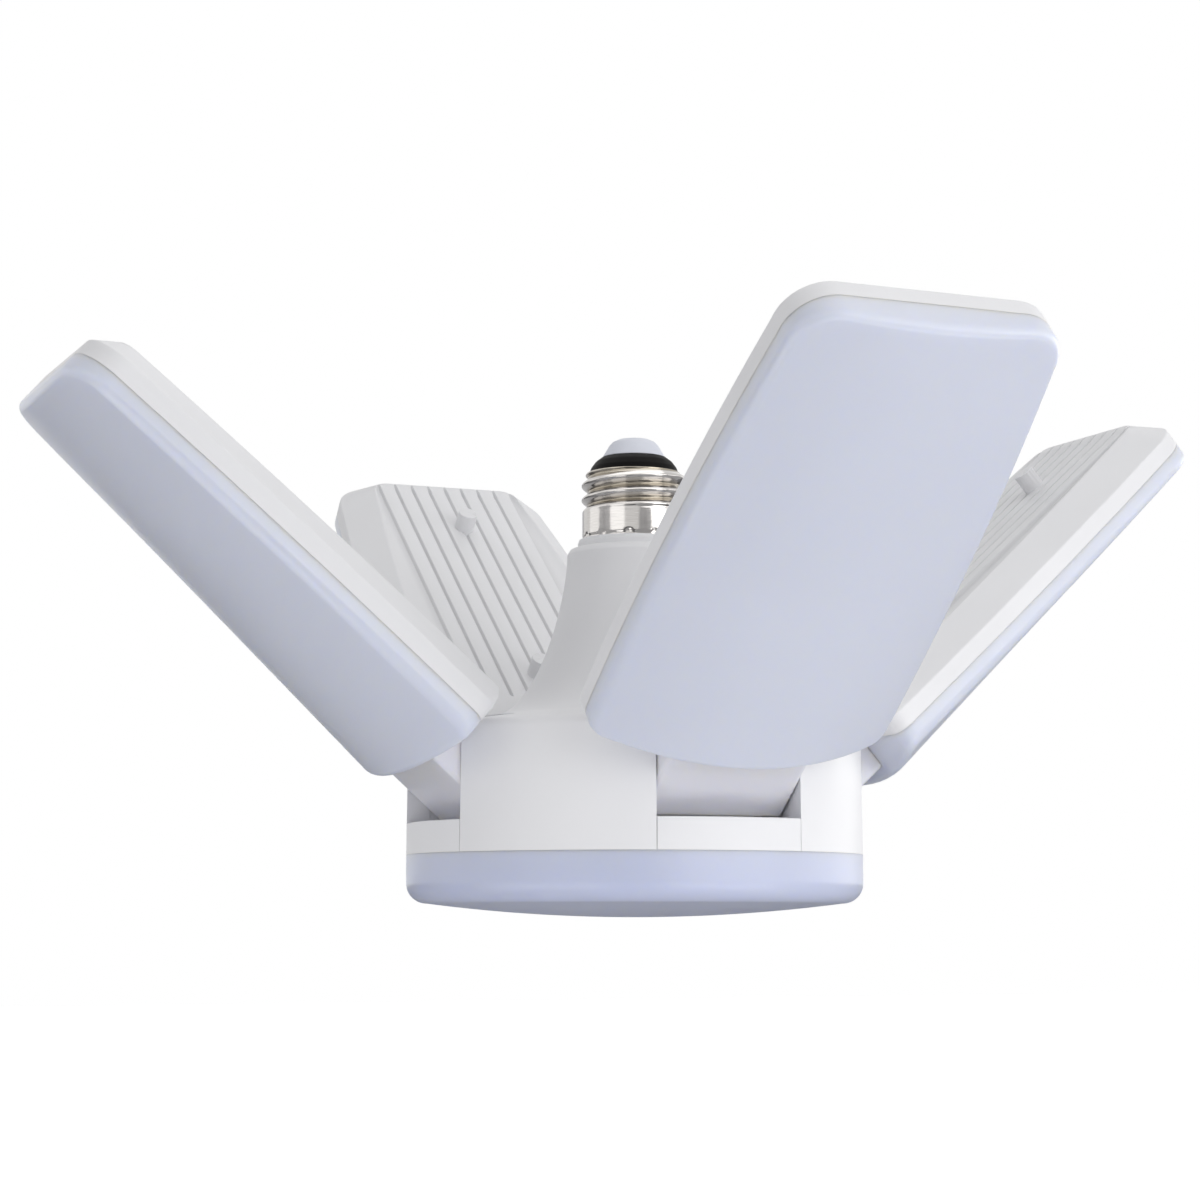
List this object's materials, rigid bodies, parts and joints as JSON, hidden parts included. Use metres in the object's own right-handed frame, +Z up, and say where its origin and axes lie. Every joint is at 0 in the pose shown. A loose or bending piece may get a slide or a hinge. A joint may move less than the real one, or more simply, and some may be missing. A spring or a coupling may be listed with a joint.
{
  "type": "deformable garage light",
  "caption": "Screw-in garage light: a flared white housing with a round centre diffuser and tapered, ribbed light leaves that swing up on friction hinges around it.",
  "frame": {"origin": "tip of the base's end contact, on the lamp's axis", "axes": "+Z up along the lamp's axis into the lampholder, so the light hangs below the origin; the front leaf points along -Y, the right leaf along +X"},
  "size_m": [0.2997, 0.3032, 0.1292],
  "materials": {
    "contact": "polished",
    "insulator": "glossy",
    "shell": "rolled and plated",
    "white_plastic": "fine satin moulding",
    "knuckle_plastic": "fine satin moulding",
    "diffuser": "translucent satin",
    "screw_steel": "zinc plated",
    "axle_steel": "drawn",
    "washer": "satin",
    "led_board": "white solder mask",
    "phosphor": "satin",
    "circuit_board": "satin",
    "component_black": "satin",
    "component_red": "glossy",
    "component_green": "satin",
    "ferrite": "matte",
    "coil_tape": "satin",
    "lead_black": "satin",
    "lead_red": "satin"
  },
  "bodies": {
    "housing": {"end_contact": "contact", "base_insulator": "insulator", "screw_shell": "shell", "upper_housing": "white_plastic", "lower_chassis": "white_plastic", "chassis_screws": "screw_steel", "centre_lens": "diffuser", "centre_led_board": "led_board", "centre_leds": "phosphor", "centre_board_screws": "screw_steel", "driver_board": "circuit_board", "smoothing_capacitor": "component_black", "film_capacitor": "component_red", "transformer_core": "ferrite", "transformer_coil": "coil_tape", "filter_choke": "ferrite", "bridge_rectifier": "component_black", "driver_chip": "component_black", "fuse_resistor": "component_green", "base_leads": "lead_black", "leaf_supply_leads": "lead_red", "centre_lead": "lead_red"},
    "front_leaf": {"front_casing": "white_plastic", "front_lens": "diffuser", "front_led_board": "led_board", "front_leds": "phosphor", "front_hinge_arm": "knuckle_plastic", "front_hinge_axle": "axle_steel", "front_friction_washers": "washer", "front_screws": "screw_steel", "front_lead": "lead_red"},
    "right_leaf": {"right_casing": "white_plastic", "right_lens": "diffuser", "right_led_board": "led_board", "right_leds": "phosphor", "right_hinge_arm": "knuckle_plastic", "right_hinge_axle": "axle_steel", "right_friction_washers": "washer", "right_screws": "screw_steel", "right_lead": "lead_red"},
    "back_leaf": {"back_casing": "white_plastic", "back_lens": "diffuser", "back_led_board": "led_board", "back_leds": "phosphor", "back_hinge_arm": "knuckle_plastic", "back_hinge_axle": "axle_steel", "back_friction_washers": "washer", "back_screws": "screw_steel", "back_lead": "lead_red"},
    "left_leaf": {"left_casing": "white_plastic", "left_lens": "diffuser", "left_led_board": "led_board", "left_leds": "phosphor", "left_hinge_arm": "knuckle_plastic", "left_hinge_axle": "axle_steel", "left_friction_washers": "washer", "left_screws": "screw_steel", "left_lead": "lead_red"}
  },
  "joints": [
    {"name": "front_leaf_hinge", "type": "hinge", "parent": "housing", "child": "front_leaf", "pos_m": [0, -0.0438, -0.0826], "axis": [-1, 0, 0], "range_deg": [-40, 50]},
    {"name": "right_leaf_hinge", "type": "hinge", "parent": "housing", "child": "right_leaf", "pos_m": [0.0438, 0, -0.0826], "axis": [0, -1, 0], "range_deg": [-41.5, 48.5]},
    {"name": "back_leaf_hinge", "type": "hinge", "parent": "housing", "child": "back_leaf", "pos_m": [0, 0.0438, -0.0826], "axis": [1, 0, 0], "range_deg": [-40, 50]},
    {"name": "left_leaf_hinge", "type": "hinge", "parent": "housing", "child": "left_leaf", "pos_m": [-0.0438, 0, -0.0826], "axis": [0, 1, 0], "range_deg": [-41, 49]}
  ]
}
